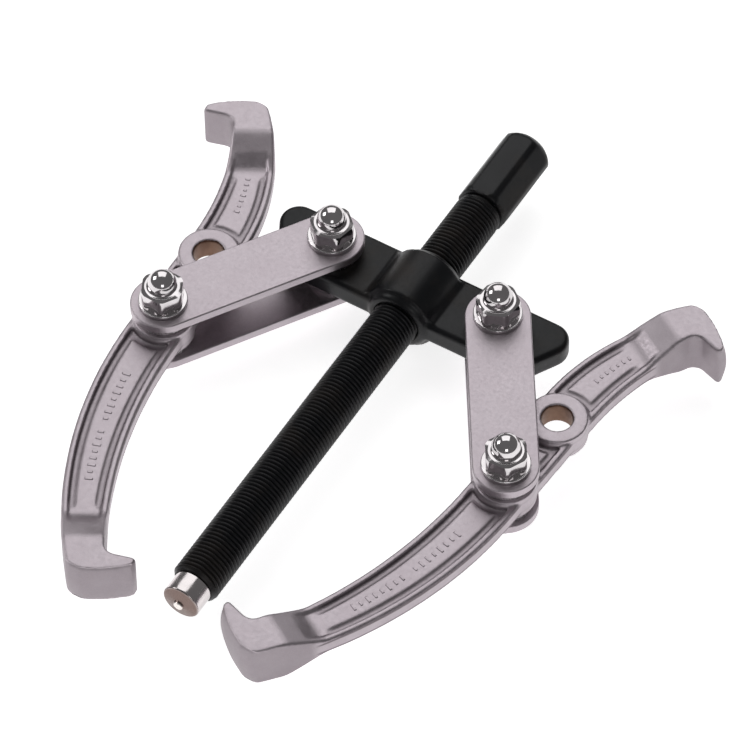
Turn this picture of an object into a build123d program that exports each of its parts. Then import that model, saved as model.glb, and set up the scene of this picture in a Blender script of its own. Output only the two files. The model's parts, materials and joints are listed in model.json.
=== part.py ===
"""Two-jaw reversible gear puller, lying flat: yoke, forcing screw, links and jaws."""
from build123d import *
import os
from math import cos, radians, sin, sqrt, tan

os.makedirs("parts", exist_ok=True)

# Frame: the origin is the middle of the pressing tip's end face, on the forcing screw's axis.
# +Y runs up the screw to its drive hexagon, +X along the yoke, +Z out of the flat of the tool.

# ---- driving dimensions, millimetres ----
yoke_y = 143.0               # height of the yoke's bolt line above the tip
bolt_spacing = 62.3          # between the two yoke bolts
link_length = 60.0           # hole to hole
link_angle = 33.0            # lean of each link away from the screw, degrees
jaw_angles = {"left": 2.3, "right": 3.7}    # lean of each jaw, long arm towards the screw, degrees
play = 0.05                  # running clearance at every pivot and face

pin_r = 5.0                  # bolt shoulder
hole_r = pin_r + 0.06        # holes that turn on the shoulder
hole_chamfer = 0.4
boss_half = 4.4              # half thickness of the yoke's ends and the jaw bosses
spacer_thick = 3.0
spacer_r = 9.0
link_thick = 3.5
link_half_width = 10.65
link_edge_r = 0.5
ring_chamfer = 0.3           # outer corners of the washers and spacers
washer_thick = 1.6
washer_r = 8.0
stud_r = 3.97                # threaded end of each bolt, M8
tapped_r = 4.0

link_inner_z = boss_half + play + spacer_thick + play
link_outer_z = link_inner_z + link_thick
shoulder_z = link_outer_z + play
nut_z = shoulder_z + washer_thick

screw_r = 8.0
thread_start = 9.4
thread_end = 185.0
hex_end = 215.7

jaw_hole_spacing = 29.0
yoke_pivot = (-bolt_spacing / 2, yoke_y)
jaw_pivot = (
    yoke_pivot[0] - link_length * sin(radians(link_angle)),
    yoke_pivot[1] - link_length * cos(radians(link_angle)),
)
pivots = {"yoke": yoke_pivot, "jaw": jaw_pivot}


def circumradius(across_flats):
    return across_flats / sqrt(3)


def turned_plane(x, y, angle, z=0.0):
    """Plane facing +Z at a place in the tool, turned about +Z."""
    turn = radians(angle)
    return Plane(origin=(x, y, z), x_dir=(cos(turn), sin(turn), 0), z_dir=(0, 0, 1))


def save(part, name):
    part.label = name
    export_step(part, f"parts/{name}.step")


def save_pair(left_part, name):
    """Write a left-hand piece, and its mirror image on the other side of the screw."""
    save(left_part, f"left_{name}")
    with BuildPart() as right:
        add(left_part)
        mirror(about=Plane.YZ, mode=Mode.REPLACE)
    save(right.part, f"right_{name}")


# ---- yoke ----
bar_back = 11.9              # from the bolt line to the edge on the hexagon's side
bar_front = 11.0             # and to the edge on the jaws' side
bar_back_x = 58.2            # end corner on the hexagon's side, before rounding
bar_front_x = 45.2           # end corner on the jaws' side, before rounding
barrel_r = 12.4
barrel_half = 12.2
barrel_end_r = 2.4
hump_half_width = 15.6
hump_fillet = 5.0
bore_r = screw_r + 0.06
back_corner_r = 6.5
front_corner_r = 5.0
yoke_edge_r = 1.8

with BuildPart() as barrel:
    with BuildSketch(Plane.XZ.offset(-yoke_y - barrel_half)) as hump:
        Circle(barrel_r)
        Rectangle(2 * hump_half_width, 2 * boss_half - 0.4)
        meeting = hump.vertices().filter_by_position(Axis.X, 1 - hump_half_width, hump_half_width - 1)
        fillet(meeting, radius=hump_fillet)
    extrude(amount=2 * barrel_half)
    with BuildSketch(Plane.XY.offset(0)) as rounded_ends:
        with Locations((hump_half_width / 2, yoke_y)):
            Rectangle(hump_half_width, 2 * (barrel_half - barrel_end_r))
        with Locations(((barrel_r - barrel_end_r / 2) / 2, yoke_y)):
            RectangleRounded(barrel_r - barrel_end_r / 2, 2 * barrel_half, barrel_end_r)
            Rectangle(barrel_r / 2, 2 * barrel_half, align=(Align.MAX, Align.CENTER))
        with Locations((0, yoke_y)):
            Rectangle(2 * barrel_r, 4 * barrel_half, align=(Align.MAX, Align.CENTER), mode=Mode.SUBTRACT)
    revolve(axis=Axis.Y, mode=Mode.INTERSECT)

with BuildPart() as yoke:
    with BuildSketch(Plane.XY.offset(-boss_half)):
        with BuildLine():
            Polyline(
                (-bar_back_x, yoke_y + bar_back),
                (bar_back_x, yoke_y + bar_back),
                (bar_front_x, yoke_y - bar_front),
                (-bar_front_x, yoke_y - bar_front),
                close=True,
            )
        make_face()
    extrude(amount=2 * boss_half)
    corners = yoke.edges().filter_by(Axis.Z).group_by(Axis.Y)
    fillet(corners[-1], radius=back_corner_r)
    fillet(corners[0], radius=front_corner_r)
    fillet(yoke.faces().filter_by(Axis.Z).edges(), radius=yoke_edge_r)
    add(barrel.part)
    with Locations(Plane.XZ.offset(-yoke_y)):
        Cylinder(bore_r, 4 * barrel_half, mode=Mode.SUBTRACT)
    with Locations(yoke_pivot, (-yoke_pivot[0], yoke_pivot[1])):
        Hole(hole_r)
save(yoke.part, "yoke")

# ---- links: a flat bar with round ends, above and below the yoke ----
with BuildPart() as upper_link:
    with BuildSketch(Plane.XY.offset(link_inner_z)):
        with BuildLine():
            Line(yoke_pivot, jaw_pivot)
        middle = ((yoke_pivot[0] + jaw_pivot[0]) / 2, (yoke_pivot[1] + jaw_pivot[1]) / 2)
        with Locations(middle):
            SlotCenterToCenter(link_length, 2 * link_half_width, rotation=90 - link_angle)
    extrude(amount=link_thick)
    fillet(upper_link.faces().filter_by(Axis.Z).edges(), radius=link_edge_r)
    with Locations(yoke_pivot, jaw_pivot):
        Hole(hole_r)

with BuildPart() as lower_link:
    add(upper_link.part)
    mirror(about=Plane.XY, mode=Mode.REPLACE)

save_pair(upper_link.part, "link_upper")
save_pair(lower_link.part, "link_lower")


# ---- pivot bolts, washers, spacers and dome nuts ----
head_across_flats = 13.0
head_thick = 5.3
stud_chamfer = 0.8
hex_turned_share = 0.96       # of the width across flats, left flat by the corner chamfer
stud_top_z = nut_z + 8.0
nut_hex_height = 6.4
dome_r = 4.7
dome_centre_z = 20.5
bore_top_z = stud_top_z + 0.6


def chamfered_hexagon(across_flats, bottom, top, chamfer_top, chamfer_bottom):
    """Hexagonal prism on +Z whose corners are turned off to a cone at 30 degrees."""
    corner_r = circumradius(across_flats)
    turned_r = across_flats / 2 * hex_turned_share
    drop = (corner_r - turned_r) * tan(radians(30))
    low = bottom + (drop if chamfer_bottom else 0)
    high = top - (drop if chamfer_top else 0)
    with BuildPart() as prism:
        with BuildSketch(Plane.XY.offset(bottom)):
            RegularPolygon(corner_r, 6)
        extrude(amount=top - bottom)
        with BuildSketch(Plane.XZ):
            with BuildLine():
                Polyline(
                    (0, bottom),
                    (turned_r if chamfer_bottom else corner_r, bottom),
                    (corner_r + 0.001, low),
                    (corner_r + 0.001, high),
                    (turned_r if chamfer_top else corner_r, top),
                    (0, top),
                    close=True,
                )
            make_face()
        revolve(axis=Axis.Z, mode=Mode.INTERSECT)
    return prism.part


with BuildPart() as bolt_blank:
    add(chamfered_hexagon(head_across_flats, -shoulder_z - head_thick, -shoulder_z, False, True))
    with Locations((0, 0, -shoulder_z)):
        Cylinder(pin_r, 2 * shoulder_z, align=(Align.CENTER, Align.CENTER, Align.MIN))
    with Locations((0, 0, shoulder_z)):
        Cylinder(stud_r, stud_top_z - shoulder_z, align=(Align.CENTER, Align.CENTER, Align.MIN))
    chamfer(bolt_blank.faces().sort_by(Axis.Z)[-1].edges(), length=stud_chamfer)

with BuildPart() as nut_blank:
    add(chamfered_hexagon(head_across_flats, nut_z, nut_z + nut_hex_height, True, True))
    with Locations((0, 0, nut_z + nut_hex_height)):
        Cylinder(dome_r, dome_centre_z - nut_z - nut_hex_height, align=(Align.CENTER, Align.CENTER, Align.MIN))
    with Locations((0, 0, dome_centre_z)):
        Sphere(dome_r)
    with BuildSketch(Plane.XY.offset(nut_z)):
        Circle(tapped_r)
    extrude(amount=bore_top_z - nut_z, mode=Mode.SUBTRACT)

with BuildPart() as washer_blank:
    with BuildSketch(Plane.XY.offset(shoulder_z)):
        Circle(washer_r)
        Circle(tapped_r + 0.2, mode=Mode.SUBTRACT)
    extrude(amount=washer_thick)
    washer_rim = washer_blank.faces().sort_by(Axis.Z)[-1].edges().sort_by(SortBy.RADIUS)[-1]
    chamfer(washer_rim, length=ring_chamfer)

with BuildPart() as spacer_blank:
    with BuildSketch(Plane.XY.offset(boss_half + play)):
        Circle(spacer_r)
        Circle(hole_r, mode=Mode.SUBTRACT)
    extrude(amount=spacer_thick)
    chamfer(spacer_blank.edges().filter_by(GeomType.CIRCLE).group_by(SortBy.RADIUS)[-1], length=ring_chamfer)

with BuildPart() as lower_spacer_blank:
    add(spacer_blank.part)
    mirror(about=Plane.XY, mode=Mode.REPLACE)

pivot_pieces = {
    "bolt": bolt_blank.part,
    "dome_nut": nut_blank.part,
    "washer": washer_blank.part,
    "spacer_upper": spacer_blank.part,
    "spacer_lower": lower_spacer_blank.part,
}
for pivot, place in pivots.items():
    for piece, blank in pivot_pieces.items():
        with BuildPart() as placed:
            with Locations(turned_plane(*place, angle=90 - link_angle)):
                add(blank)
        save_pair(placed.part, f"{pivot}_{piece}")


# ---- forcing screw, and the pressing tip that stays still while the screw turns ----
hex_across_flats = 17.0
hex_turn = 5.0               # the flats' lean about the screw, degrees
hex_chamfer_r = 7.0
hex_chamfer_length = 3.4
collar_length = 2.2
screw_end_r = 7.0
tip_r = 6.45
tip_rim = 0.9
tip_cone_length = 2.3
tip_face_r = 1.5
stem_r = 3.5
stem_length = 12.0
socket_r = stem_r + 0.06
ring_y = thread_start + 8.0
ring_width = 1.2
ring_depth = 0.9
stem_groove_depth = 0.5


def axis_revolve(*points):
    """Revolve an outline of (radius, y) points about the screw's axis."""
    with BuildPart() as turned:
        with BuildSketch(Plane.XY):
            with BuildLine():
                Polyline(*points, close=True)
            make_face()
        revolve(axis=Axis.Y)
    return turned.part


collar_r = circumradius(hex_across_flats) - 0.6
hex_start = thread_end + collar_length
hex_corner_r = circumradius(hex_across_flats)
socket_end = thread_start + stem_length + 0.5

with BuildPart() as forcing_screw:
    with BuildSketch(Plane.XZ.offset(-thread_end)):
        RegularPolygon(hex_corner_r, 6, rotation=hex_turn)
    extrude(amount=-(hex_end - thread_end))
    add(
        axis_revolve(
            (0, thread_end),
            (collar_r - 0.8, thread_end),
            (hex_corner_r + 0.01, hex_start),
            (hex_corner_r + 0.01, hex_end - hex_chamfer_length),
            (hex_chamfer_r, hex_end),
            (0, hex_end),
        ),
        mode=Mode.INTERSECT,
    )
    add(
        axis_revolve(
            (0, thread_start),
            (screw_end_r, thread_start),
            (screw_r, thread_start + 1.4),
            (screw_r, thread_end),
            (0, thread_end),
        )
    )
    add(
        axis_revolve(
            (0, thread_start),
            (socket_r, thread_start),
            (socket_r, ring_y),
            (socket_r + ring_depth, ring_y),
            (socket_r + ring_depth, ring_y + ring_width),
            (socket_r, ring_y + ring_width),
            (socket_r, socket_end),
            (0, socket_end),
        ),
        mode=Mode.SUBTRACT,
    )
save(forcing_screw.part, "forcing_screw")

tip_shoulder = thread_start - play
with BuildPart() as screw_tip:
    add(
        axis_revolve(
            (0, 0),
            (tip_face_r, 0),
            (tip_r - tip_rim, tip_cone_length - tip_rim),
            (tip_r, tip_cone_length),
            (tip_r, tip_shoulder),
            (stem_r, tip_shoulder),
            (stem_r, ring_y + play),
            (stem_r - stem_groove_depth, ring_y + play),
            (stem_r - stem_groove_depth, ring_y + ring_width - play),
            (stem_r, ring_y + ring_width - play),
            (stem_r, tip_shoulder + stem_length),
            (0, tip_shoulder + stem_length),
        )
    )
save(screw_tip.part, "screw_tip")

ring = axis_revolve(
    (stem_r - stem_groove_depth, ring_y + play),
    (socket_r + ring_depth - 0.3, ring_y + play),
    (socket_r + ring_depth - 0.3, ring_y + ring_width - play),
    (stem_r - stem_groove_depth, ring_y + ring_width - play),
)
with BuildPart() as snap_ring:
    add(ring)
    with Locations((stem_r, ring_y, 0)):
        Box(2 * stem_r, 2 * ring_width, 1.4, mode=Mode.SUBTRACT)
save(snap_ring.part, "tip_snap_ring")


# ---- jaws: a long arm and a short arm, each with a hook, on opposite sides ----
# The jaw is drawn about the middle between its two holes, +Y from the bolted hole to the spare one,
# +X towards the screw.
rim_z = 3.1                  # half thickness of the arms
hook_z = 8.5                 # half thickness of the hooks
side_x = 9.1                 # half width beside the holes
side_top = 20.0
side_bottom = -23.0
long_throat = (32.7, -107.0)
short_throat = (-19.8, 65.2)
throat_r = 4.0
tip_corner_r = 1.2
heel_r = 3.4
slant_r = 4.2
tip_inner = (10.0, -2.5)     # hook outline from its throat: towards the hook's point, and past it
tip_outer = (10.9, 1.0)
slant_start = (3.3, 10.4)    # towards the arm's back
slant_bulge = 0.9            # the slanted back of a hook is a shallow arc
long_heel_x = 24.4
short_heel_x = -12.3
boss_r = 10.0
hook_lean = 27.7             # the ramps cross the arms at this angle, degrees
long_ramp = 91.0             # from the middle of the jaw to where each ramp starts
short_ramp = 48.0
ramp_length = 13.3
ramp_fillet = 9.0
edge_r = 0.9
rim_width = 2.2
groove_width = 2.3
groove_z = 1.7
panel_z = 2.3
panel_ramp = (1.0, 9.5)      # start beyond the arm's own ramp, and length
groove_ramp = (-1.5, 7.5)
boss_clear_r = boss_r + 0.7


def hook_point(throat, offset, side):
    """Point of a hook's outline; side is +1 on the long arm and -1 on the short one."""
    return (throat[0] + side * offset[0], throat[1] - side * offset[1])


def hook_back(throat, side):
    return (throat[0] - side * slant_start[0], throat[1] - side * slant_start[1])


long_heel = (long_heel_x, hook_back(long_throat, 1)[1])
short_heel = (short_heel_x, hook_back(short_throat, -1)[1])

with BuildSketch() as jaw_outline:
    with BuildLine():
        inner_side = Line((side_x, side_bottom), (side_x, side_top))
        TangentArc(inner_side @ 1, short_heel, tangent=(0, 1))
        Line(short_heel, hook_back(short_throat, -1))
        SagittaArc(hook_back(short_throat, -1), hook_point(short_throat, tip_outer, -1), -slant_bulge)
        Polyline(
            hook_point(short_throat, tip_outer, -1),
            hook_point(short_throat, tip_inner, -1),
            short_throat,
        )
        outer_side = Line((-side_x, side_top), (-side_x, side_bottom))
        TangentArc(outer_side @ 0, short_throat, tangent=(0, 1))
        TangentArc(outer_side @ 1, long_heel, tangent=(0, -1))
        Line(long_heel, hook_back(long_throat, 1))
        SagittaArc(hook_back(long_throat, 1), hook_point(long_throat, tip_outer, 1), -slant_bulge)
        Polyline(
            hook_point(long_throat, tip_outer, 1),
            hook_point(long_throat, tip_inner, 1),
            long_throat,
        )
        TangentArc(inner_side @ 0, long_throat, tangent=(0, -1))
    make_face()
    corner_radii = [
        (long_throat, throat_r),
        (short_throat, throat_r),
        (long_heel, heel_r),
        (short_heel, heel_r),
        (hook_back(long_throat, 1), slant_r),
        (hook_back(short_throat, -1), slant_r),
    ]
    for throat, side in ((long_throat, 1), (short_throat, -1)):
        for corner in (tip_outer, tip_inner):
            corner_radii.append((hook_point(throat, corner, side), tip_corner_r))
    for corner, radius in corner_radii:
        fillet(jaw_outline.vertices().sort_by_distance(corner)[0], radius=radius)

# Plane of the jaw's side view: its own X runs along the long arm's hook end, its own Y is +Z.
view_turn = radians(hook_lean)
along_jaw = (sin(view_turn), -cos(view_turn), 0)
across_jaw = (-cos(view_turn), -sin(view_turn), 0)
side_view = Plane(origin=(0, 0, 0), x_dir=along_jaw, z_dir=across_jaw)
jaw_reach = 150.0


def side_profile(arm_half, ramp_start, ramp_rise):
    """Upper half of the jaw's side view: the arms' level, a ramp up at each end, and the hooks."""
    long_start = long_ramp + ramp_start
    short_start = -short_ramp - ramp_start
    return [
        (-jaw_reach, 0),
        (-jaw_reach, hook_z),
        (short_start - ramp_rise, hook_z),
        (short_start, arm_half),
        (long_start, arm_half),
        (long_start + ramp_rise, hook_z),
        (jaw_reach, hook_z),
        (jaw_reach, 0),
    ]


def side_slab(arm_half, ramp_start, ramp_rise):
    """Everything under a side profile, as one wide slab."""
    with BuildPart() as slab:
        with BuildSketch(side_view):
            with BuildLine():
                Polyline(*side_profile(arm_half, ramp_start, ramp_rise), close=True)
            make_face()
        extrude(amount=jaw_reach, both=True)
        bends = slab.edges().filter_by(lambda edge: 0.1 < abs(edge.center().Z))
        bends = bends.filter_by(lambda edge: abs(edge.length - 2 * jaw_reach) < 1)
        bends = [edge for edge in bends if abs(side_view.to_local_coords(edge.center()).X) < jaw_reach - 1]
        fillet(bends, radius=ramp_fillet)
    return slab.part


def region_above(slab, region, height):
    """What stands over a region of the outline, above a slab."""
    with BuildPart() as cutter:
        with BuildSketch():
            add(region)
        extrude(amount=height)
        add(slab, mode=Mode.SUBTRACT)
    return cutter.part


with BuildPart() as jaw_half:
    with BuildSketch():
        add(jaw_outline.sketch)
    extrude(amount=hook_z)
    add(side_slab(rim_z, 0.0, ramp_length), mode=Mode.INTERSECT)
    tops = jaw_half.faces().filter_by(lambda face: face.normal_at(face.center()).Z > 0.5)
    sides = jaw_half.faces().filter_by(lambda face: abs(face.normal_at(face.center()).Z) < 0.01)
    rims = [edge for edge in tops.edges() if edge in sides.edges()]
    fillet(rims, radius=edge_r)

# The recess is a shallow panel with a deeper groove round it, inside a rim of even width.
with BuildSketch() as arms_outline:
    add(jaw_outline.sketch)
    with Locations(Location((0, 0), hook_lean)):
        with Locations((0, (short_ramp - long_ramp) / 2)):
            Rectangle(jaw_reach, short_ramp + long_ramp + 2 * ramp_length, mode=Mode.INTERSECT)

with BuildSketch() as panel_region:
    add(arms_outline.sketch)
    offset(amount=-rim_width, mode=Mode.REPLACE)
    with GridLocations(0, jaw_hole_spacing, 1, 2):
        Circle(boss_clear_r, mode=Mode.SUBTRACT)

with BuildSketch() as groove_region:
    add(panel_region.sketch)
    offset(panel_region.sketch, amount=-groove_width, mode=Mode.SUBTRACT)

panel_cut = region_above(side_slab(panel_z, *panel_ramp), panel_region.sketch, hook_z)
groove_cut = region_above(side_slab(groove_z, *groove_ramp), groove_region.sketch, hook_z)

with BuildPart() as jaw:
    add(jaw_half.part)
    add(panel_cut, mode=Mode.SUBTRACT)
    add(groove_cut, mode=Mode.SUBTRACT)
    mirror(about=Plane.XY)
    with GridLocations(0, jaw_hole_spacing, 1, 2):
        Cylinder(boss_r, 2 * boss_half)
        Cylinder(hole_r, 2 * hook_z, mode=Mode.SUBTRACT)
    mouths = jaw.edges().filter_by(GeomType.CIRCLE).filter_by(lambda edge: abs(edge.radius - hole_r) < 0.01)
    chamfer(mouths, length=hole_chamfer)

for side, mirrored in (("left", False), ("right", True)):
    lean = radians(jaw_angles[side])
    middle_x = jaw_pivot[0] - jaw_hole_spacing / 2 * sin(lean)
    middle_y = jaw_pivot[1] + jaw_hole_spacing / 2 * cos(lean)
    with BuildPart() as placed_jaw:
        with Locations(turned_plane(middle_x, middle_y, angle=jaw_angles[side])):
            add(jaw.part)
        if mirrored:
            mirror(about=Plane.YZ, mode=Mode.REPLACE)
    save(placed_jaw.part, f"{side}_jaw")
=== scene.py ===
import json
import math

import bmesh
import bpy
from mathutils import Matrix, Vector, noise


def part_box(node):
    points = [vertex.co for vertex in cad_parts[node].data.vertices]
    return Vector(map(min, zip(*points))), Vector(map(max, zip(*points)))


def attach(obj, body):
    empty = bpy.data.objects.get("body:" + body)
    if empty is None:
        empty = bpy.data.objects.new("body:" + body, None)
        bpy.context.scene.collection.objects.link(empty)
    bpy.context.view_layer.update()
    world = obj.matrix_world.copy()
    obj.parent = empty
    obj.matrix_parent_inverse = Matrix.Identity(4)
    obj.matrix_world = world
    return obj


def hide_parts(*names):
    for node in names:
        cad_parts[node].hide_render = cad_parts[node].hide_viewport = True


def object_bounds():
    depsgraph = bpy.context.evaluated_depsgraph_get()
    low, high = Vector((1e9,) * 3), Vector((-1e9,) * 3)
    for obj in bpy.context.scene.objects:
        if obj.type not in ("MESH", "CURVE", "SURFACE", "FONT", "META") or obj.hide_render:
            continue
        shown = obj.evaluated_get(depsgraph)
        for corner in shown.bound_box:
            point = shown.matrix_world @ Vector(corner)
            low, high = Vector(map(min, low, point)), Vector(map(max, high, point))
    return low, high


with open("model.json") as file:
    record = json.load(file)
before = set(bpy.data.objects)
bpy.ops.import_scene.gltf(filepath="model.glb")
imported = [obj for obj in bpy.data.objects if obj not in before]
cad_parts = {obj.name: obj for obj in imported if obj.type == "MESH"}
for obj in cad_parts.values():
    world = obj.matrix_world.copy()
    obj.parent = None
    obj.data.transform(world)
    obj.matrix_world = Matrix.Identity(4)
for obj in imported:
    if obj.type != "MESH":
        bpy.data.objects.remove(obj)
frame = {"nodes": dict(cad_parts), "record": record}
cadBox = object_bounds()
mm = 0.001
sides = ("left", "right")

# places that everything else is worked out from, all read from the frame
mountByName = {m["name"]: m for m in frame["record"]["mounts"]}
hexEndY = mountByName["drive_hexagon_end"]["pos_m"][1]
print("frame loaded:", len(frame["nodes"]), "nodes")


class Sock:
    # wraps a socket, so that sums on values become Math nodes
    def __init__(self, tree, socket):
        self.tree = tree
        self.socket = socket

    def math(self, operation, other):
        node = self.tree.nodes.new("ShaderNodeMath")
        node.operation = operation
        for slot, value in zip(node.inputs, (self, other)):
            if isinstance(value, Sock):
                self.tree.links.new(value.socket, slot)
            else:
                slot.default_value = value
        return Sock(self.tree, node.outputs[0])

    def __add__(self, other): return self.math("ADD", other)
    def __radd__(self, other): return self.math("ADD", other)
    def __mul__(self, other): return self.math("MULTIPLY", other)
    def __rmul__(self, other): return self.math("MULTIPLY", other)


class Finish:
    # one node material with a Principled shader
    def __init__(self, name):
        self.material = bpy.data.materials.new(name)
        self.material.use_nodes = True
        self.tree = self.material.node_tree
        self.shader = self.tree.nodes["Principled BSDF"]
        self.place = self.node("ShaderNodeTexCoord")["Object"]

    def feed(self, slot, value):
        if isinstance(value, Sock):
            self.tree.links.new(value.socket, slot)
        else:
            slot.default_value = value

    def node(self, kind, settings=None, inputs=None):
        # outputs come back by name and by number
        made = self.tree.nodes.new(kind)
        for key, value in (settings or {}).items():
            setattr(made, key, value)
        for key, value in (inputs or {}).items():
            self.feed(made.inputs[key], value)
        outputs = {out.name: Sock(self.tree, out) for out in made.outputs}
        outputs.update({i: Sock(self.tree, out) for i, out in enumerate(made.outputs)})
        return outputs

    def noise(self, scale, detail, roughness, vector=None):
        return self.node("ShaderNodeTexNoise", None, {
            "Vector": vector or self.place, "Scale": scale, "Detail": detail, "Roughness": roughness})["Fac"]

    def stretched(self, scale):
        return self.node("ShaderNodeMapping", None, {"Vector": self.place, "Scale": scale})["Vector"]

    def mixColor(self, factor, first, second):
        # the Mix node's colour sockets go by number, as their names repeat
        colors = [value if isinstance(value, Sock) else (*value, 1) for value in (first, second)]
        settings = {"data_type": "RGBA", "blend_type": "MIX"}
        return self.node("ShaderNodeMix", settings, {0: factor, 6: colors[0], 7: colors[1]})[2]

    def remap(self, value, low, high, toLow, toHigh):
        return self.node("ShaderNodeMapRange", {"clamp": True}, {
            "Value": value, "From Min": low, "From Max": high, "To Min": toLow, "To Max": toHigh})["Result"]

    def attribute(self, name):
        return self.node("ShaderNodeAttribute", {"attribute_name": name})["Fac"]

    def set(self, **values):
        for key, value in values.items():
            self.feed(self.shader.inputs[key.replace("_", " ")], value)
        return self.material

    def bump(self, height, strength, distance):
        return self.node("ShaderNodeBump", None, {
            "Height": height, "Strength": strength, "Distance": distance * mm})["Normal"]


# plated forgings and link bars; one near-black tone is painted shade that darkens the sunk places and side
# walls, and "bore" is the tone of the holes
satin = {
    "light": (0.56, 0.505, 0.54), "dark": (0.43, 0.38, 0.41), "toneSpan": (0.36, 0.64),
    "paintedShade": (0.085, 0.068, 0.075), "paintedShadeSpan": (0.15, 1.0), "paintedShadeShare": 0.9, "paintedShadeRough": 0.15,
    "bore": (0.19, 0.115, 0.08), "roughness": (0.36, 0.50), "roughSpan": (0.35, 0.65),
    "grain": 2600, "cloud": 95, "speck": 900, "bump": (0.35, 0.05),
}


def satinSteel(name, withPaintedShade):
    f = Finish(name)
    cloud = f.noise(satin["cloud"], 4, 0.6)
    grain = f.noise(satin["grain"], 2, 0.6)
    speck = f.noise(satin["speck"], 2, 0.5)
    tone = f.remap(cloud * 0.55 + grain * 0.25 + speck * 0.2, *satin["toneSpan"], 0.0, 1.0)
    color = f.mixColor(tone, satin["dark"], satin["light"])
    rough = f.remap(speck * 0.6 + cloud * 0.4, *satin["roughSpan"], *satin["roughness"])
    if withPaintedShade:
        # painted shade: the sunk places and walls are darkened by a stored mask and made a little rougher,
        # and the hole walls take the bore tone
        paintedShade = f.attribute("paintedShade")
        shadeAmount = f.remap(paintedShade, *satin["paintedShadeSpan"], 0.0, satin["paintedShadeShare"])
        color = f.mixColor(shadeAmount, color, satin["paintedShade"])
        color = f.mixColor(f.attribute("hole"), color, satin["bore"])
        rough = rough + paintedShade * satin["paintedShadeRough"]
    normal = f.bump(grain * 0.5 + speck * 0.5, *satin["bump"])
    return f.set(Base_Color=color, Roughness=rough, Metallic=1.0, Normal=normal)


# black oxide of the yoke and the screw, rubbed brown in places
black = {
    "base": (0.0055, 0.006, 0.0075), "worn": (0.022, 0.017, 0.014), "wornSpan": (0.48, 0.72),
    "wornShare": 0.8, "roughness": (0.28, 0.46), "roughSpan": (0.35, 0.65),
    "metallic": 0.15, "specular": 0.33, "cloud": 70, "bump": (0.25, 0.04),
}


def blackOxide(name, grainScale):
    f = Finish(name)
    cloud = f.noise(black["cloud"], 5, 0.6)
    grain = f.noise(grainScale, 2, 0.6)
    rub = f.remap(cloud, *black["wornSpan"], 0.0, 1.0)
    color = f.mixColor(rub * black["wornShare"], black["base"], black["worn"])
    rough = f.remap(cloud * 0.5 + grain * 0.5, *black["roughSpan"], *black["roughness"])
    return f.set(Base_Color=color, Roughness=rough, Metallic=black["metallic"],
                 Specular_IOR_Level=black["specular"], Normal=f.bump(grain, *black["bump"]))


# bright fasteners; "dulled" is how much light the duller patches keep
plating = {
    "cloud": 160, "cloudSpan": (0.35, 0.7), "dulled": 0.86, "scratch": (2400, 260, 260),
    "roughSpan": (0.35, 0.65), "bump": (0.12, 0.02),
}


def brightPlate(name, tone, low, high):
    f = Finish(name)
    cloud = f.noise(plating["cloud"], 3, 0.5)
    scratch = f.noise(1, 3, 0.6, f.stretched(plating["scratch"]))
    dull = tuple(c * plating["dulled"] for c in tone)
    color = f.mixColor(f.remap(cloud, *plating["cloudSpan"], 0.0, 1.0), tone, dull)
    rough = f.remap(cloud * 0.6 + scratch * 0.4, *plating["roughSpan"], low, high)
    return f.set(Base_Color=color, Roughness=rough, Metallic=1.0, Normal=f.bump(scratch, *plating["bump"]))


# the ends are heights above the tip's point, between which one tone gives way to the next
tipTone = {
    "side": (0.66, 0.62, 0.62), "face": (0.20, 0.145, 0.13), "point": (0.85, 0.80, 0.76),
    "faceEnds": (0.0017, 0.0023), "pointEnds": (0.0002, 0.0005), "faceRough": 0.12,
    "roughness": (0.12, 0.24), "roughSpan": (0.35, 0.65), "cloud": 420, "rings": (200, 5200, 200),
    "bump": (0.2, 0.03),
}


def tipPlate(name):
    # the cone is duller and browner than the turned side; its small flat middle is bright
    f = Finish(name)
    height = f.node("ShaderNodeSeparateXYZ", None, {"Vector": f.place})["Y"]
    cloud = f.noise(tipTone["cloud"], 3, 0.5)
    rings = f.noise(1, 2, 0.5, f.stretched(tipTone["rings"]))
    face = f.remap(height, *tipTone["faceEnds"], 1.0, 0.0)
    point = f.remap(height, *tipTone["pointEnds"], 1.0, 0.0)
    color = f.mixColor(face, tipTone["side"], tipTone["face"])
    color = f.mixColor(point, color, tipTone["point"])
    rough = f.remap(cloud, *tipTone["roughSpan"], *tipTone["roughness"]) + face * tipTone["faceRough"]
    return f.set(Base_Color=color, Roughness=rough, Metallic=1.0, Normal=f.bump(rings, *tipTone["bump"]))


finishes = {
    "jaw": satinSteel("satinForging", True),
    "link": satinSteel("satinPlate", False),
    "tick": satinSteel("satinTick", False),
    "black": blackOxide("blackOxide", 1500),
    "thread": blackOxide("blackOxideThread", 2600),
    "bright": brightPlate("brightPlating", (0.70, 0.67, 0.68), 0.06, 0.16),
    "zinc": brightPlate("zincPlating", (0.74, 0.72, 0.73), 0.16, 0.32),
    "tip": tipPlate("polishedTip"),
}
print("finishes made:", len(finishes))

weld = 1e-7      # points closer than this become one
nearAxis = 1e-9  # a smaller radius than this is a single point


def makeObject(name, mesh, body, finish, smoothAngle):
    made = bpy.data.objects.new(name, mesh)
    bpy.context.scene.collection.objects.link(made)
    mesh.materials.clear()
    mesh.materials.append(finishes[finish])
    mesh.shade_smooth()
    mesh.set_sharp_from_angle(angle=math.radians(smoothAngle))
    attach(made, body)
    return made


def toMesh(bm, name):
    mesh = bpy.data.meshes.new(name)
    bm.to_mesh(mesh)
    bm.free()
    return mesh


def finishMesh(bm, name):
    bmesh.ops.remove_doubles(bm, verts=bm.verts, dist=weld)
    bmesh.ops.dissolve_degenerate(bm, edges=bm.edges, dist=weld)
    bmesh.ops.recalc_face_normals(bm, faces=bm.faces)
    return toMesh(bm, name)


def join(bm, other):
    mesh = toMesh(other, "part")
    bm.from_mesh(mesh)
    bpy.data.meshes.remove(mesh)


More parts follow.
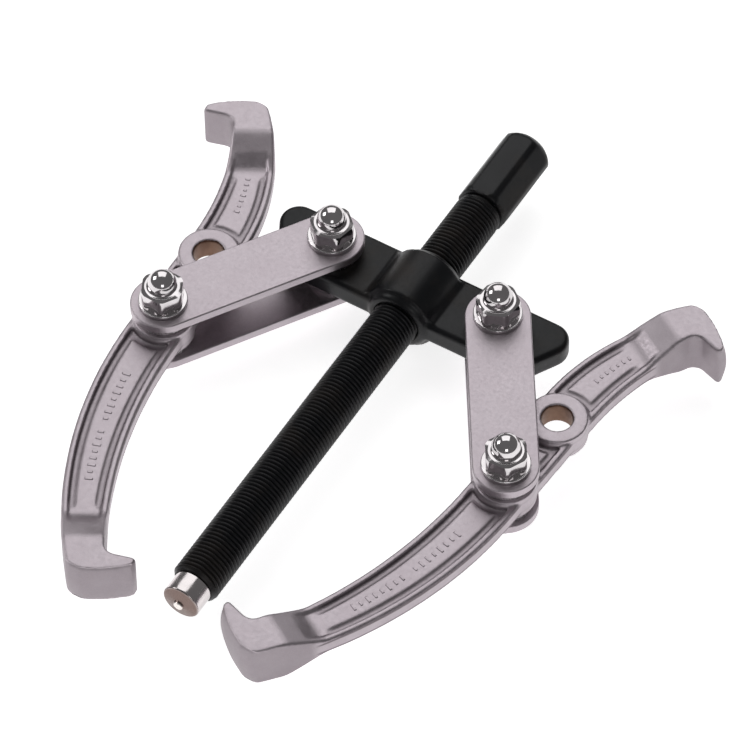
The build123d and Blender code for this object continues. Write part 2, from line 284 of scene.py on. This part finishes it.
def polarMesh(profile, steps, reach=None):
    # a turned shape on +Z from (radius, z) points; reach(angle) cuts every radius down, as flats do
    bm = bmesh.new()
    rings = []
    for radius, z in profile:
        if radius < nearAxis:
            rings.append([bm.verts.new((0, 0, z))])
            continue
        ring = []
        for i in range(steps):
            angle = 2 * math.pi * i / steps
            r = min(radius, reach(angle)) if reach else radius
            ring.append(bm.verts.new((r * math.cos(angle), r * math.sin(angle), z)))
        rings.append(ring)
    for low, high in zip(rings, rings[1:]):
        for i in range(steps):
            j = (i + 1) % steps
            corners = [low[i % len(low)], low[j % len(low)], high[j % len(high)], high[i % len(high)]]
            unique = list(dict.fromkeys(corners))
            if len(unique) > 2:
                bm.faces.new(unique)
    return bm


def arc(cx, cz, r, start, end, steps):
    points = []
    for i in range(steps + 1):
        t = math.radians(start + (end - start) * i / steps)
        points.append((cx + r * math.cos(t), cz + r * math.sin(t)))
    return points


def flats(acrossFlats, rounding=0.35 * mm):
    # distance to the side of a hexagon with slightly rounded corners
    half = acrossFlats / 2
    corner = half / math.cos(math.pi / 6) - rounding

    def reach(angle):
        turn = (angle + math.pi / 6) % (math.pi / 3) - math.pi / 6
        return min(half / math.cos(turn), corner)
    return reach


def place(bm, mid, turn=0.0):
    matrix = Matrix.Translation((mid.x, mid.y, 0)) @ Matrix.Rotation(turn, 4, "Z")
    bmesh.ops.transform(bm, matrix=matrix, verts=bm.verts)


def alongY(bm, turn=0.0):
    # a shape turned about +Z becomes one about +Y
    matrix = Matrix.Rotation(math.radians(-90), 4, "X") @ Matrix.Rotation(turn, 4, "Z")
    bmesh.ops.transform(bm, matrix=matrix, verts=bm.verts)
    return bm


def centreOf(node):
    low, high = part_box(node)
    return Vector(low), Vector(high), (Vector(low) + Vector(high)) / 2


def eachPivot():
    # side, the pivot's word in the names of its pieces, and the body that they ride on
    for side in sides:
        yield side, "yoke", "yoke"
        yield side, "jaw", f"{side}_links"


nodeTurn = math.radians(27.0)
domeNut = {
    "acrossFlats": 13.0 * mm, "hexHeight": 6.4 * mm, "domeRadius": 4.7 * mm, "bore": 4.0 * mm,
    "boreDepth": 2 * mm, "chamfer": 0.75 * mm, "yokeTurn": 0.35, "steps": 96,
}


def nutMesh(node):
    low, high, mid = centreOf(node)
    base = low.z
    half = domeNut["acrossFlats"] / 2
    corner = domeNut["acrossFlats"] / math.sqrt(3)
    hexTop = base + domeNut["hexHeight"]
    dome, bore, chamfer = domeNut["domeRadius"], domeNut["bore"], domeNut["chamfer"]
    roof = base + domeNut["boreDepth"]
    profile = [(0, roof), (bore, roof), (bore, base + 0.3 * mm), (bore + 0.4 * mm, base)]
    profile += [(half * 0.95, base), (corner, base + chamfer)]
    profile += [(corner, base + (hexTop - base) * k / 6) for k in range(2, 5)]
    profile += [(corner, hexTop - chamfer - 0.25 * mm), (corner - 0.5 * mm, hexTop - 0.42 * mm)]
    profile += arc(half * 0.93 - 0.4 * mm, hexTop - 0.4 * mm, 0.4 * mm, 70, 90, 3)
    profile += [(dome + 0.5 * mm, hexTop), (dome + 0.12 * mm, hexTop + 0.14 * mm), (dome, hexTop + 0.5 * mm)]
    profile += arc(0, high.z - dome, dome, 0, 90, 20)
    return polarMesh(profile, domeNut["steps"], flats(domeNut["acrossFlats"])), mid


for side, pivot, body in eachPivot():
    node = f"{side}_{pivot}_dome_nut"
    bm, mid = nutMesh(node)
    extra = domeNut["yokeTurn"] if pivot == "yoke" else 0.0
    place(bm, mid, nodeTurn * (1 if side == "left" else -1) + extra)
    nut = makeObject(f"{node}_polished", finishMesh(bm, node), body, "bright", 28)
    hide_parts(node)
print("dome nuts made")

washers = {"edge": 0.35 * mm, "bore": 4.2 * mm, "spacerBore": 5.06 * mm, "steps": 96}


def ringPiece(node, inner, body, finish):
    low, high, mid = centreOf(node)
    edge = washers["edge"]
    outer = (high.x - low.x) / 2
    profile = [(inner, low.z + edge), (inner + edge, low.z), (outer - edge, low.z)]
    profile += arc(outer - edge, low.z + edge, edge, -75, 0, 4)
    profile += arc(outer - edge, high.z - edge, edge, 0, 75, 4)
    profile += [(outer - edge, high.z), (inner + edge, high.z), (inner, high.z - edge), (inner, low.z + edge)]
    bm = polarMesh(profile, washers["steps"])
    place(bm, mid)
    ring = makeObject(f"{node}_detailed", finishMesh(bm, node), body, finish, 30)
    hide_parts(node)


for side, pivot, body in eachPivot():
    ringPiece(f"{side}_{pivot}_washer", washers["bore"], body, "bright")
    ringPiece(f"{side}_{pivot}_spacer_upper", washers["spacerBore"], body, "zinc")
    ringPiece(f"{side}_{pivot}_spacer_lower", washers["spacerBore"], body, "zinc")
print("washers and spacers made")

bolts = {
    "acrossFlats": 13.0 * mm, "headHeight": 5.3 * mm, "shoulder": 5.0 * mm, "stud": 3.97 * mm,
    "studLength": 9.6 * mm, "studChamfer": 0.8 * mm, "relief": 0.3 * mm, "pitch": 1.25 * mm,
    "threadDepth": 0.6 * mm, "steps": 72,
}


def boltMesh(node):
    low, high, mid = centreOf(node)
    half = bolts["acrossFlats"] / 2
    corner = bolts["acrossFlats"] / math.sqrt(3)
    headTop = low.z + bolts["headHeight"]
    shoulder, stud, relief, pitch = (bolts[key] for key in ("shoulder", "stud", "relief", "pitch"))
    profile = [(0, low.z + 0.35 * mm), (3.6 * mm, low.z + 0.35 * mm), (4.1 * mm, low.z)]
    profile += [(half * 0.93, low.z), (corner - 0.35 * mm, low.z + 0.5 * mm), (corner, low.z + 0.8 * mm)]
    profile += [(corner, low.z + 2.5 * mm), (corner, headTop - 0.12 * mm), (corner - 0.12 * mm, headTop)]
    head = polarMesh(profile + [(shoulder, headTop)], bolts["steps"], flats(bolts["acrossFlats"]))
    shoulderTop = high.z - bolts["studLength"]
    shank = [(shoulder, headTop), (shoulder, shoulderTop - relief)]
    shank += [(shoulder - relief, shoulderTop), (stud, shoulderTop)]
    for k in range(int((high.z - shoulderTop - bolts["studChamfer"]) / pitch)):
        z = shoulderTop + relief + k * pitch
        shank += [(stud, z), (stud - bolts["threadDepth"], z + pitch / 2)]
    shank += [(stud, high.z - bolts["studChamfer"]), (stud - 0.7 * mm, high.z), (0, high.z)]
    join(head, polarMesh(shank, bolts["steps"]))
    return head, mid


for side, pivot, body in eachPivot():
    node = f"{side}_{pivot}_bolt"
    bm, mid = boltMesh(node)
    place(bm, mid, nodeTurn)
    bolt = makeObject(f"{node}_detailed", finishMesh(bm, node), body, "zinc", 30)
    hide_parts(node)
print("bolts made")

screw = {
    "crest": 8.0 * mm, "root": 7.22 * mm, "pitch": 1.5 * mm, "start": 9.4 * mm, "end": 185.0 * mm,
    "startRadius": 6.9 * mm, "leadSlope": 0.85, "fadeTurns": 2.2, "fadedLift": 0.25, "steps": 64,
    "acrossFlats": 17.0 * mm, "hexTurn": 5.0, "hexRounding": 0.55 * mm, "hexSteps": 120,
    "socket": 3.56 * mm, "socketDepth": 3 * mm,
}
# thread form over one pitch: share of the pitch, and how far out from the root
threadForm = [
    (0.0, 0.0), (0.10, 0.0), (0.22, 0.35), (0.40, 0.93), (0.48, 1.0), (0.56, 1.0), (0.64, 0.93), (0.88, 0.25),
]


def threadMesh():
    bm = bmesh.new()
    steps, start, end, pitch = (screw[key] for key in ("steps", "start", "end", "pitch"))
    faded = screw["fadedLift"]
    turns = int((end - start) / pitch) + 2
    grid = []
    for turn, share, lift in [(k - 1, *form) for k in range(turns) for form in threadForm]:
        row = []
        for i in range(steps + 1):
            y = start + pitch * (turn + share + i / steps)
            fade = min(1.0, max(0.0, (end - y) / (screw["fadeTurns"] * pitch)))
            r = screw["root"] + (screw["crest"] - screw["root"]) * lift * (faded + (1 - faded) * fade)
            r = min(r, screw["startRadius"] + max(0.0, y - start) * screw["leadSlope"])
            y = min(max(y, start), end)
            angle = 2 * math.pi * i / steps
            row.append(bm.verts.new((r * math.cos(angle), y, r * math.sin(angle))))
        grid.append(row)
    for a, b in zip(grid, grid[1:]):
        for i in range(steps):
            corners = [a[i], a[i + 1], b[i + 1], b[i]]
            ys = [v.co.y for v in corners]
            if max(ys) - min(ys) > 1e-9:
                bm.faces.new(corners)
    # the last column of a row is the first column of the row one turn on
    bmesh.ops.remove_doubles(bm, verts=bm.verts, dist=2 * weld)
    loose = [v for v in bm.verts if not v.link_faces]
    bmesh.ops.delete(bm, geom=loose, context="VERTS")
    return bm


def hexagonMesh():
    corner = screw["acrossFlats"] / math.sqrt(3)
    start, end = screw["end"], hexEndY
    profile = [(screw["root"], start), (corner - 1.5 * mm, start), (corner - 1.0 * mm, start + 0.35 * mm)]
    profile += [(corner - 0.25 * mm, start + 1.5 * mm), (corner, start + 2.3 * mm)]
    profile += [(corner, start + 2.3 * mm + (end - start - 7 * mm) * k / 5) for k in range(1, 6)]
    profile += [(corner - 0.35 * mm, end - 3.4 * mm), (corner - 1.0 * mm, end - 2.3 * mm)]
    profile += [(corner - 1.9 * mm, end - 1.2 * mm), (corner - 2.7 * mm, end - 0.45 * mm)]
    profile += [(corner - 3.5 * mm, end), (0, end)]
    bm = polarMesh(profile, screw["hexSteps"], flats(screw["acrossFlats"], screw["hexRounding"]))
    return alongY(bm, math.radians(30 - screw["hexTurn"]))


def mouthMesh():
    # the screw's end face and the socket that takes the tip's stem
    start, bore = screw["start"], screw["socket"]
    roof = start + screw["socketDepth"]
    profile = [(screw["startRadius"], start), (bore, start), (bore, roof), (0, roof)]
    return alongY(polarMesh(profile, screw["steps"]))


bm = hexagonMesh()
join(bm, threadMesh())
join(bm, mouthMesh())
forcingScrew = makeObject("forcing_screw_threaded", finishMesh(bm, "screw"), "forcing_screw", "thread",
                          40)
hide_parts("forcing_screw")
print("forcing screw made")

tip = {
    "radius": 6.45 * mm, "back": 9.35 * mm, "rim": 0.6 * mm, "stem": 3.5 * mm, "stemEnd": 21 * mm,
    "steps": 96,
}


def tipMesh():
    r, rim = tip["radius"], tip["rim"]
    profile = [(0, 0), (1.3 * mm, 0), (1.5 * mm, 0.12 * mm), (1.9 * mm, 0.95 * mm), (2.2 * mm, 1.1 * mm)]
    profile += [(5.2 * mm, 1.45 * mm), (r - 0.55 * mm, 1.75 * mm)]
    profile += arc(r - rim, 2.35 * mm, rim, -70, 0, 5)
    profile += [(r, 4 * mm), (r, 6 * mm), (r, tip["back"] - 0.3 * mm), (r - 0.3 * mm, tip["back"])]
    profile += [(tip["stem"], tip["back"]), (tip["stem"], tip["stemEnd"]), (0, tip["stemEnd"])]
    return alongY(polarMesh(profile, tip["steps"]))


tipPiece = makeObject("screw_tip_polished", finishMesh(tipMesh(), "tip"), "screw_tip", "tip",
                      30)
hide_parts("screw_tip")
print("tip made")

# forgings are softened copies of the designed solids, slightly uneven
forging = {
    "jaw": {"voxel": 0.42 * mm, "smooth": 5, "waves": 180},
    "yoke": {"voxel": 0.5 * mm, "smooth": 6, "waves": 150},
    "unevenness": 0.045 * mm, "smoothAngle": 80,
}


def softened(node, spec):
    source = frame["nodes"][node]
    copy = bpy.data.objects.new(f"{node}_forged", source.data.copy())
    bpy.context.scene.collection.objects.link(copy)
    remesh = copy.modifiers.new("remesh", "REMESH")
    remesh.mode = "VOXEL"
    remesh.voxel_size = spec["voxel"]
    smooth = copy.modifiers.new("smooth", "SMOOTH")
    smooth.factor = 0.5
    smooth.iterations = spec["smooth"]
    depsgraph = bpy.context.evaluated_depsgraph_get()
    mesh = bpy.data.meshes.new_from_object(copy.evaluated_get(depsgraph))
    bpy.data.objects.remove(copy)
    return mesh


def roughen(mesh, spec):
    normals = [v.normal.copy() for v in mesh.vertices]
    for v, n in zip(mesh.vertices, normals):
        v.co += n * (noise.noise(v.co * spec["waves"]) * forging["unevenness"])


# hooks begin and end at distances along the jaw from the middle between its two holes
jawShape = {
    "hookLean": 27.7, "hookHalf": 8.5 * mm, "longHook": 93 * mm, "shortHook": 50 * mm, "hookBlend": 14 * mm,
    "bulge": 1.2 * mm, "pull": 1.2 * mm, "smoothing": 4,
}

# painted shade for the sunk places and side walls: how dark each is, with the distances along the jaw and the
# heights between which each fades
jawPaintedShade = {
    "longArm": (92 * mm, 97 * mm), "shortArm": (49 * mm, 54 * mm),
    "longPanel": (85 * mm, 89 * mm), "shortPanel": (42 * mm, 46 * mm),
    "groove": 0.34, "rimZ": 2.35 * mm, "grooveDepth": 0.6 * mm,
    "edge": 0.85, "edgeTop": (2.5 * mm, 2.95 * mm), "wall": 0.5, "armWall": 0.16,
    "line": 0.9, "lineFoot": (1.5 * mm, 2.0 * mm), "lineTop": (2.2 * mm, 2.7 * mm),
    "lineGap": (9.0 * mm, 11.5 * mm), "ramp": 0.14, "rampFoot": (3.2 * mm, 3.8 * mm),
    "holeRadius": 5.35 * mm,
}


def step(value, low, high):
    t = max(0.0, min(1.0, (value - low) / (high - low)))
    return t * t * (3 - 2 * t)


class JawPlace:
    # coordinates along and across one jaw, from the middle between its two holes
    def __init__(self, side):
        self.hole = centreOf(f"{side}_jaw_bolt")[2].xy
        self.spare = Vector(mountByName[f"{side}_jaw_spare_hole"]["pos_m"]).xy
        self.middle = (self.hole + self.spare) / 2
        self.up = (self.spare - self.hole).normalized()
        self.inward = Vector((self.up.y, -self.up.x)) * (1 if side == "left" else -1)
        lean = math.radians(jawShape["hookLean"])
        self.along = self.inward * math.sin(lean) - self.up * math.cos(lean)

    def point(self, u, v, z):
        flat = self.middle + self.inward * u + self.up * v
        return Vector((flat.x, flat.y, z))

    def reach(self, co):
        # distance along the line from the short hook to the long one
        return (co.xy - self.middle).dot(self.along)

    def within(self, co, longEnd, shortEnd):
        reach = self.reach(co)
        return (1 - step(reach, *longEnd)) * (1 - step(-reach, *shortEnd))


def paintedShadeAt(co, level, near, jaw):
    # painted shade: grooves are darkest, then a line along the top of each side wall, then the walls
    tone = jawPaintedShade
    z = abs(co.z)
    onArm = jaw.within(co, tone["longArm"], tone["shortArm"])
    onPanel = jaw.within(co, tone["longPanel"], tone["shortPanel"])
    below = tone["groove"] * step(tone["rimZ"] - z, 0, tone["grooveDepth"]) * step(level, 0.2, 0.6)
    steep = onPanel * step(level, 0.15, 0.4) * (1 - step(level, 0.80, 0.96)) * (1 - step(z, *tone["edgeTop"]))
    below = max(below, tone["edge"] * steep) * onArm
    wall = (tone["wall"] + (tone["armWall"] - tone["wall"]) * onArm) * (1 - step(level, 0.25, 0.75))
    line = step(z, *tone["lineFoot"]) * (1 - step(z, *tone["lineTop"])) * onArm * (1 - step(level, 0.2, 0.6))
    lineOver = tone["line"] * line * step(near, *tone["lineGap"])
    ramp = tone["ramp"] * step(level, 0.3, 0.6) * (1 - step(level, 0.9, 0.985)) * step(z, *tone["rampFoot"])
    return max(below, wall, lineOver, ramp)


def markPaintedShade(mesh, jaw):
    # each point keeps the painted shade that darkens it, and whether it lies in a hole
    mesh.attributes.new("paintedShade", "FLOAT", "POINT")
    mesh.attributes.new("hole", "FLOAT", "POINT")
    layers = mesh.attributes["paintedShade"].data, mesh.attributes["hole"].data
    for v, item, hole in zip(mesh.vertices, *layers):
        level = abs(v.normal.z)
        near = min((v.co.xy - jaw.hole).length, (v.co.xy - jaw.spare).length)
        inHole = near < jawPaintedShade["holeRadius"] and level < 0.7
        item.value = 0.0 if inHole else paintedShadeAt(v.co, level, near, jaw)
        hole.value = 1.0 if inHole else 0.0


def bulgeHooks(mesh, jaw):
    # the backs of the hooks are drafted: fuller at mid height than at either face
    outward = [Vector((v.normal.x, v.normal.y, 0)) for v in mesh.vertices]
    for v, n in zip(mesh.vertices, outward):
        if n.length < 0.3:
            continue
        reach = jaw.reach(v.co)
        away = jaw.along if reach > 0 else -jaw.along
        start = jawShape["longHook" if reach > 0 else "shortHook"]
        weight = step(abs(reach), start, start + jawShape["hookBlend"])
        weight *= step(n.xy.dot(away), 0.05, 0.45)
        share = min(1.0, abs(v.co.z) / jawShape["hookHalf"])
        v.co += n.normalized() * weight * (jawShape["bulge"] * (1 - share * share) - jawShape["pull"])
    bm = bmesh.new()
    bm.from_mesh(mesh)
    hooks = [v for v in bm.verts if not -jawShape["shortHook"] < jaw.reach(v.co) < jawShape["longHook"]]
    for _ in range(jawShape["smoothing"]):
        bmesh.ops.smooth_vert(bm, verts=hooks, factor=0.5, use_axis_x=True, use_axis_y=True, use_axis_z=True)
    bm.to_mesh(mesh)
    bm.free()


# plain raised ticks along the middle of each arm's panel, in millimetres; "gap" is the tick left out
pips = {
    "long": {
        "radius": 154.5, "start": -23.0, "turn": 1, "at": (17, 60), "count": 17, "gap": 8,
        "size": (3.4, 1.0),
    },
    "short": {
        "radius": -86.0, "start": 20.0, "turn": -1, "at": (15, 29), "count": 7, "gap": None,
        "size": (2.3, 0.9),
    },
    "lift": 0.42, "base": 2.1, "topShare": 0.72, "bevel": 0.12,
}


def pipsMesh(jaw, side):
    bm = bmesh.new()
    for spec in (pips["long"], pips["short"]):
        first, last = spec["at"]
        for k in range(spec["count"]):
            if k == spec["gap"]:
                continue
            phi = (first + (last - first) * k / (spec["count"] - 1)) / abs(spec["radius"])
            u = spec["radius"] * (1 - math.cos(phi))
            v = spec["start"] - spec["turn"] * abs(spec["radius"]) * math.sin(phi)
            half = spec["size"][0] / 2 * (0.8 + 0.2 * math.cos(k * 2.3))  # so that lengths vary a little
            thick = spec["size"][1] / 2
            outline = [(-half, -thick), (half, -thick), (half, thick), (-half, thick)]
            layers = []
            for shrink, z in ((1.0, pips["base"]), (pips["topShare"], pips["base"] + pips["lift"])):
                layer = []
                for x, y in outline:
                    px = u + (x * math.cos(phi) - y * math.sin(phi)) * shrink
                    py = v + (x * math.sin(phi) + y * math.cos(phi)) * shrink
                    layer.append(bm.verts.new(jaw.point(px * mm, py * mm, z * mm)))
                layers.append(layer)
            low, high = layers
            bm.faces.new(high)
            bm.faces.new(low[::-1])
            for i in range(4):
                j = (i + 1) % 4
                bm.faces.new((low[i], low[j], high[j], high[i]))
    bmesh.ops.bevel(bm, geom=bm.edges[:], offset=pips["bevel"] * mm, segments=2, affect="EDGES", profile=0.6)
    return finishMesh(bm, f"{side}_pips")


for side in sides:
    node = f"{side}_jaw"
    jawPlace = JawPlace(side)
    mesh = softened(node, forging["jaw"])
    markPaintedShade(mesh, jawPlace)
    bulgeHooks(mesh, jawPlace)
    roughen(mesh, forging["jaw"])
    jaw = makeObject(f"{node}_forged", mesh, node, "jaw", forging["smoothAngle"])
    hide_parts(node)
    makeObject(f"{node}_raised_ticks", pipsMesh(jawPlace, side), node, "tick", 40)
    print(node, len(mesh.vertices), "points")

mesh = softened("yoke", forging["yoke"])
roughen(mesh, forging["yoke"])
yoke = makeObject("yoke_forged", mesh, "yoke", "black", forging["smoothAngle"])
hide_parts("yoke")
print("forgings made")


def refinish(node, finish):
    # a designed node that is shown as it is, in a better material
    materials = frame["nodes"][node].data.materials
    materials.clear()
    materials.append(finishes[finish])


for side in sides:
    refinish(f"{side}_link_upper", "link")
    refinish(f"{side}_link_lower", "link")
refinish("tip_snap_ring", "zinc")
print("links and snap ring finished")

view = {
    "azimuth": 31.93, "elevation": 52.43, "roll": -0.8, "distance": 2.0078, "lens": 301.37,
    "target": (0.0055, 0.1093, 0.0),
}


def makeCamera():
    a, e, roll = (math.radians(view[k]) for k in ("azimuth", "elevation", "roll"))
    back = Vector((math.sin(a) * math.cos(e), -math.cos(a) * math.cos(e), math.sin(e)))
    right = Vector((math.cos(a), math.sin(a), 0))
    up = back.cross(right)
    right, up = right * math.cos(roll) + up * math.sin(roll), up * math.cos(roll) - right * math.sin(roll)
    data = bpy.data.cameras.new("camera")
    data.lens = view["lens"]
    data.clip_end = 20
    camera = bpy.data.objects.new("camera", data)
    bpy.context.scene.collection.objects.link(camera)
    spot = Vector(view["target"]) + back * view["distance"]
    rows = [(right[i], up[i], back[i], spot[i]) for i in range(3)]
    camera.matrix_world = Matrix((*rows, (0, 0, 0, 1)))
    bpy.context.scene.camera = camera


ground = {
    "size": 3, "gap": 0.0002, "dark": (0.90, 0.90, 0.90), "light": (0.93, 0.93, 0.93), "cloud": 3,
    "roughness": 0.8, "glow": 0.86,
}


def makeFloor():
    f = Finish("paleFloor")
    cloud = f.noise(ground["cloud"], 2, 0.5)
    color = f.mixColor(f.remap(cloud, 0.3, 0.7, 0.0, 1.0), ground["dark"], ground["light"])
    f.set(Base_Color=color, Roughness=ground["roughness"],
          Emission_Color=color, Emission_Strength=ground["glow"])
    bm = bmesh.new()
    bmesh.ops.create_grid(bm, x_segments=8, y_segments=8, size=ground["size"])
    mesh = toMesh(bm, "floor")
    mesh.materials.append(f.material)
    floor = bpy.data.objects.new("floor", mesh)
    floor.location = (0, 0.1, cadBox[0][2] - ground["gap"])
    bpy.context.scene.collection.objects.link(floor)


lights = {
    "key": {"at": (-0.42, 0.80, 1.05), "size": 1.2, "power": 5.8},
    "fill": {"at": (-1.1, -0.2, 0.8), "size": 0.5, "power": 3.0},
    "front": {"at": (0.8, -1.0, 0.7), "size": 0.5, "power": 1.6},
}
sky = {"color": (0.95, 0.94, 0.95, 1), "strength": 0.15}


def makeLights():
    aim = Vector((0, 0.1, 0))
    for name, spec in lights.items():
        data = bpy.data.lights.new(name, "AREA")
        data.shape = "SQUARE"
        data.size = spec["size"]
        data.energy = spec["power"]
        lamp = bpy.data.objects.new(name, data)
        lamp.location = spec["at"]
        lamp.rotation_euler = (aim - lamp.location).to_track_quat("-Z", "Y").to_euler()
        bpy.context.scene.collection.objects.link(lamp)
    world = bpy.data.worlds.new("studio")
    world.use_nodes = True
    background = world.node_tree.nodes["Background"]
    background.inputs[0].default_value = sky["color"]
    background.inputs[1].default_value = sky["strength"]
    bpy.context.scene.world = world
    bpy.context.scene.view_settings.view_transform = "Standard"


makeCamera()
makeFloor()
makeLights()
print("stage made")
